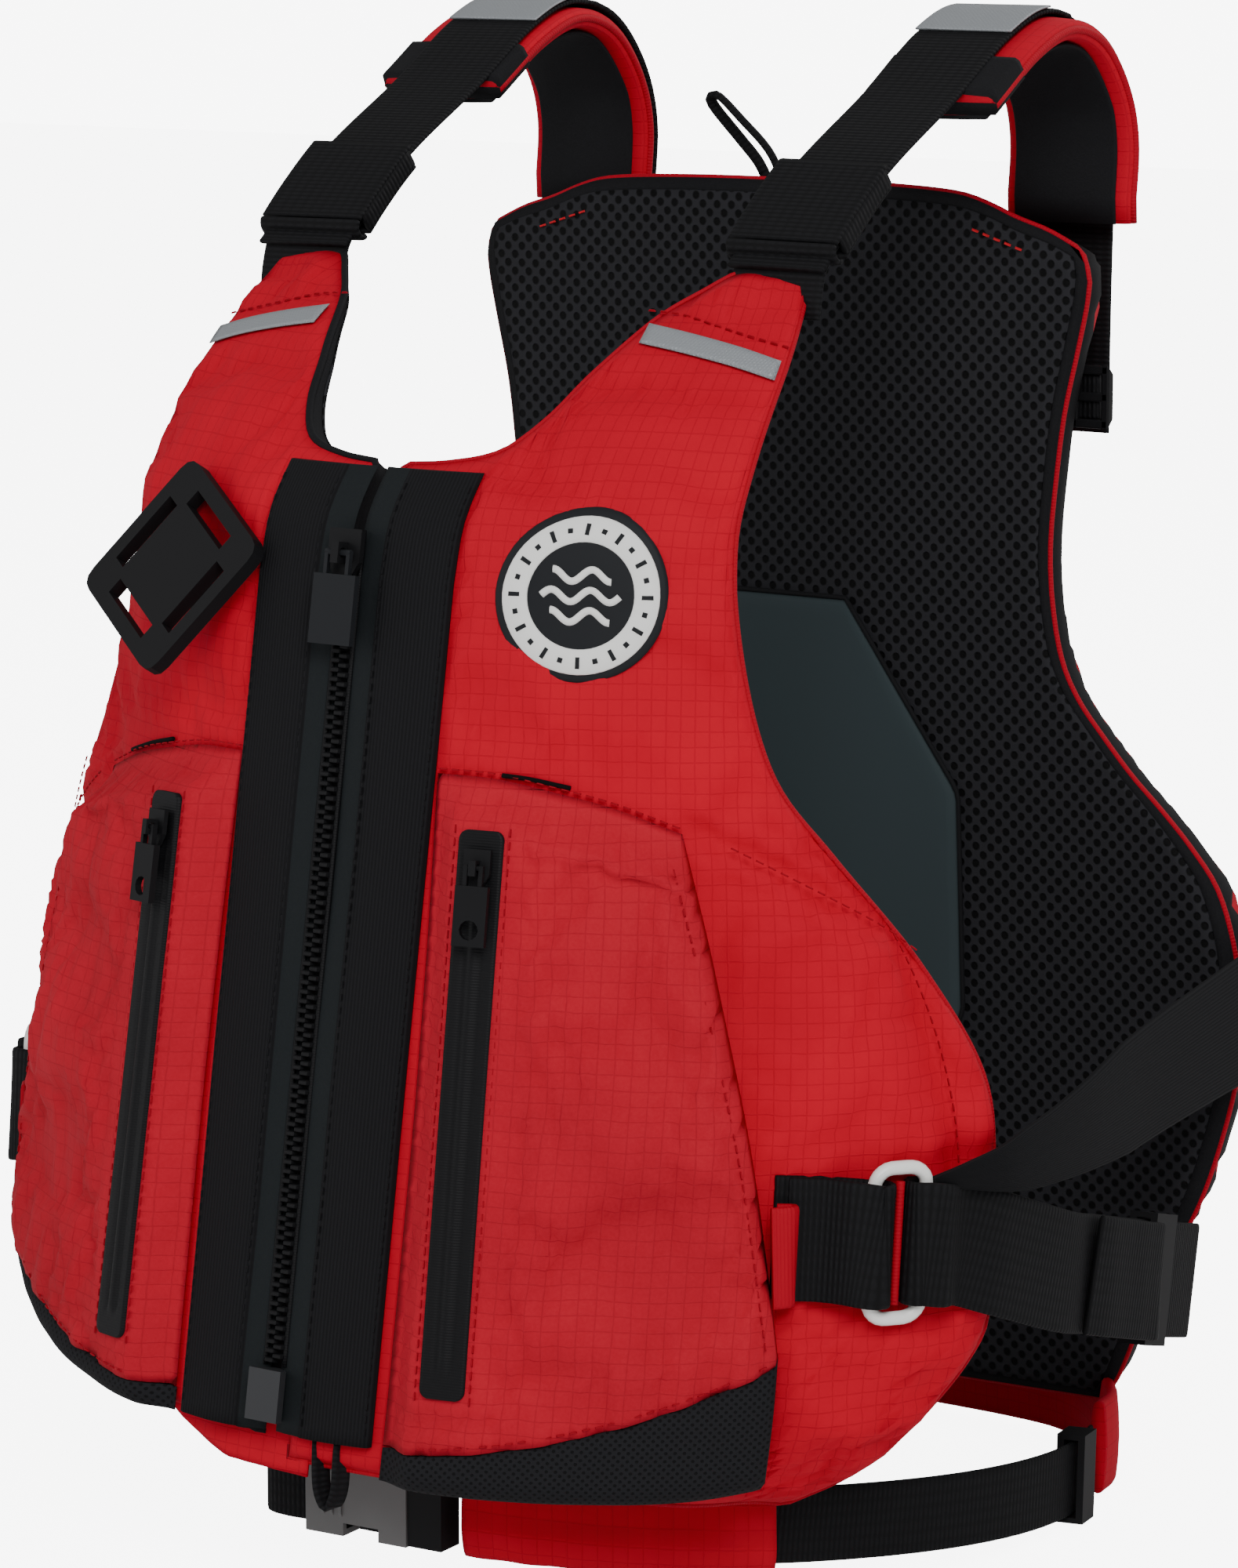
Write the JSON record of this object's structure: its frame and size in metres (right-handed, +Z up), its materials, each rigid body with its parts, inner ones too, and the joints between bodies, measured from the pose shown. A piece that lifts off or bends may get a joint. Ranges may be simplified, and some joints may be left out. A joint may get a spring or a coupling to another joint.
{
  "type": "life jacket",
  "caption": "Zipped paddling life jacket: foam front and back panels, padded shoulders, side belts, buckled waist belt, zipped chest pockets and a lash tab.",
  "frame": {"origin": "under the middle of the jacket, level with its lowest edge", "axes": "+Z up; -Y is the way the wearer looks; +X is the wearer's left"},
  "size_m": [0.4164, 0.344, 0.5162],
  "materials": {
    "red_cloth": "ripstop nylon, fine grid weave",
    "black_cloth": "plain woven nylon",
    "mesh_cloth": "open mesh",
    "slate_cloth": "stretch cloth",
    "webbing": "ribbed polyester webbing",
    "foam": "closed-cell foam",
    "reflective": "retroreflective tape",
    "black_plastic": "moulded acetal",
    "grey_plastic": "moulded nylon",
    "white_plastic": "moulded nylon",
    "rubber": "moulded rubber"
  },
  "bodies": {
    "jacket": {"back_shell": "red_cloth", "back_foam": "foam", "back_lining": "mesh_cloth", "back_patch": "slate_cloth", "hang_loop": "webbing", "zip_chain_left": "black_plastic", "zip_chain_right": "black_plastic", "zip_box": "grey_plastic", "emblem": "rubber", "lash_tab": "black_plastic", "buckle_male": "black_plastic", "front_left_shell": "red_cloth", "front_left_foam": "foam", "front_left_lining": "black_cloth", "placket_left": "black_cloth", "pocket_left": "red_cloth", "pocket_base_left": "black_cloth", "pocket_zip_left": "black_cloth", "reflective_band_left": "reflective", "shoulder_strap_left": "webbing", "shoulder_pad_left": "red_cloth", "shoulder_lining_left": "black_cloth", "side_belt_left": "webbing", "side_tail_left": "webbing", "side_wing_left": "black_cloth", "side_ring_left": "white_plastic", "waist_belt_left": "webbing", "waist_sleeve_left": "red_cloth", "belt_wing_left": "red_cloth", "front_right_shell": "red_cloth", "front_right_foam": "foam", "front_right_lining": "black_cloth", "placket_right": "black_cloth", "pocket_right": "red_cloth", "pocket_base_right": "black_cloth", "pocket_zip_right": "black_cloth", "reflective_band_right": "reflective", "shoulder_strap_right": "webbing", "shoulder_pad_right": "red_cloth", "shoulder_lining_right": "black_cloth", "side_belt_right": "webbing", "side_tail_right": "webbing", "side_wing_right": "black_cloth", "side_ring_right": "white_plastic", "waist_belt_right": "webbing", "waist_sleeve_right": "red_cloth", "belt_wing_right": "red_cloth"},
    "zip_slider": {"zip_slider": "black_plastic"},
    "zip_pull": {"zip_pull": "rubber"},
    "pocket_left_slider": {"pocket_left_slider": "black_plastic"},
    "pocket_left_pull": {"pocket_left_pull": "black_plastic"},
    "pocket_right_slider": {"pocket_right_slider": "black_plastic"},
    "pocket_right_pull": {"pocket_right_pull": "black_plastic"},
    "buckle_female": {"buckle_female": "grey_plastic"},
    "side_adjuster_left": {"side_adjuster_left": "black_plastic"},
    "side_adjuster_right": {"side_adjuster_right": "black_plastic"},
    "waist_adjuster_left": {"waist_adjuster_left": "black_plastic"},
    "waist_adjuster_right": {"waist_adjuster_right": "black_plastic"},
    "strap_sleeve_left": {"strap_sleeve_left": "webbing"},
    "strap_sleeve_right": {"strap_sleeve_right": "webbing"}
  },
  "joints": [
    {"name": "zip_slide", "type": "slide", "parent": "jacket", "child": "zip_slider", "axis": [0, 0.1676, 0.9859], "range_m": [-0.25, 0]},
    {"name": "zip_pull_hinge", "type": "hinge", "parent": "zip_slider", "child": "zip_pull", "pos_m": [0, -0.12511, 0.34598], "axis": [1, 0, 0], "range_deg": [-150, 0]},
    {"name": "pocket_left_slide", "type": "slide", "parent": "jacket", "child": "pocket_left_slider", "axis": [-0.0223, 0.1596, 0.9869], "range_m": [-0.15, 0]},
    {"name": "pocket_left_pull_hinge", "type": "hinge", "parent": "pocket_left_slider", "child": "pocket_left_pull", "pos_m": [0.06665, -0.14243, 0.25156], "axis": [0.9572, 0.2885, -0.025], "range_deg": [-150, 0]},
    {"name": "pocket_right_slide", "type": "slide", "parent": "jacket", "child": "pocket_right_slider", "axis": [0.0223, 0.1596, 0.9869], "range_m": [-0.15, 0]},
    {"name": "pocket_right_pull_hinge", "type": "hinge", "parent": "pocket_right_slider", "child": "pocket_right_pull", "pos_m": [-0.06665, -0.14243, 0.25156], "axis": [0.9572, -0.2885, 0.025], "range_deg": [-150, 0]},
    {"name": "buckle_slide", "type": "slide", "parent": "jacket", "child": "buckle_female", "axis": [0.9981, 0.061, 0], "range_m": [-0.022, 0]},
    {"name": "side_adjuster_left_slide", "type": "slide", "parent": "jacket", "child": "side_adjuster_left", "axis": [-0.153, 0.9564, -0.2487], "range_m": [-0.03, 0.008]},
    {"name": "side_adjuster_right_slide", "type": "slide", "parent": "jacket", "child": "side_adjuster_right", "axis": [0.153, 0.9564, -0.2487], "range_m": [-0.03, 0.008]},
    {"name": "waist_adjuster_left_slide", "type": "slide", "parent": "jacket", "child": "waist_adjuster_left", "axis": [-0.2413, 0.9678, -0.0714], "range_m": [-0.008, 0.008]},
    {"name": "waist_adjuster_right_slide", "type": "slide", "parent": "jacket", "child": "waist_adjuster_right", "axis": [-0.2413, -0.9678, 0.0714], "range_m": [-0.008, 0.008]},
    {"name": "strap_sleeve_left_slide", "type": "slide", "parent": "jacket", "child": "strap_sleeve_left", "axis": [0, 0.8288, 0.5596], "range_m": [0, 0.012]},
    {"name": "strap_sleeve_right_slide", "type": "slide", "parent": "jacket", "child": "strap_sleeve_right", "axis": [0, 0.8288, 0.5596], "range_m": [0, 0.012]}
  ]
}
